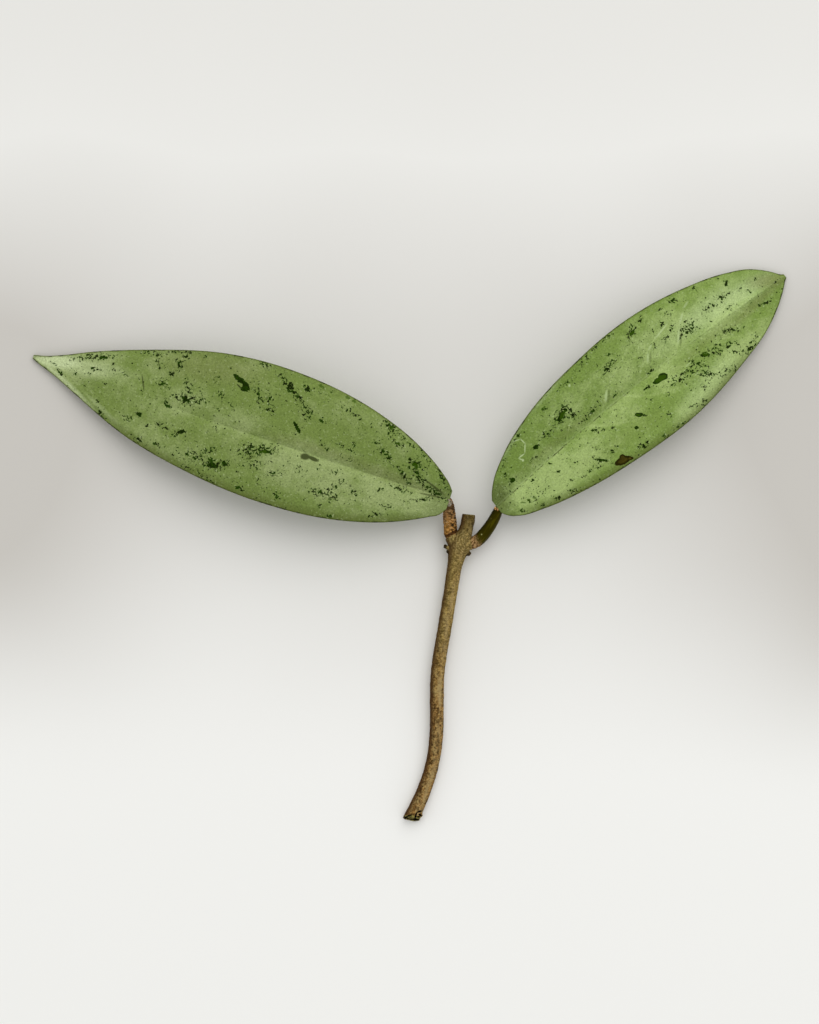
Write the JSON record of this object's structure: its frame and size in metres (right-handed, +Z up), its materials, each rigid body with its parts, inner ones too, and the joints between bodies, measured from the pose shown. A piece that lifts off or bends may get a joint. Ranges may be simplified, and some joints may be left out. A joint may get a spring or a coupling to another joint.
{
  "type": "hoya stem cutting",
  "caption": "Hoya stem cutting lying flat: a short woody stem with a swollen node, short stalks and long leathery silver-green leaves flecked with dark green.",
  "frame": {"origin": "on the surface that the cutting lies on, under the middle of its bounding box", "axes": "+X from the left leaf's tip to the right leaf's tip, +Y from the stem's lower cut towards the leaves, +Z up from the surface, the way the leaves' upper faces look"},
  "size_m": [0.2004, 0.1475, 0.0125],
  "materials": {
    "bark": "matte",
    "petiole_cork": "matte",
    "petiole_olive": "satin",
    "leaf": "satin"
  },
  "bodies": {
    "root": {"stem": "bark", "petiole_left": "petiole_cork", "petiole_right": "petiole_olive", "leaf_left": "leaf", "leaf_right": "leaf"}
  },
  "joints": []
}
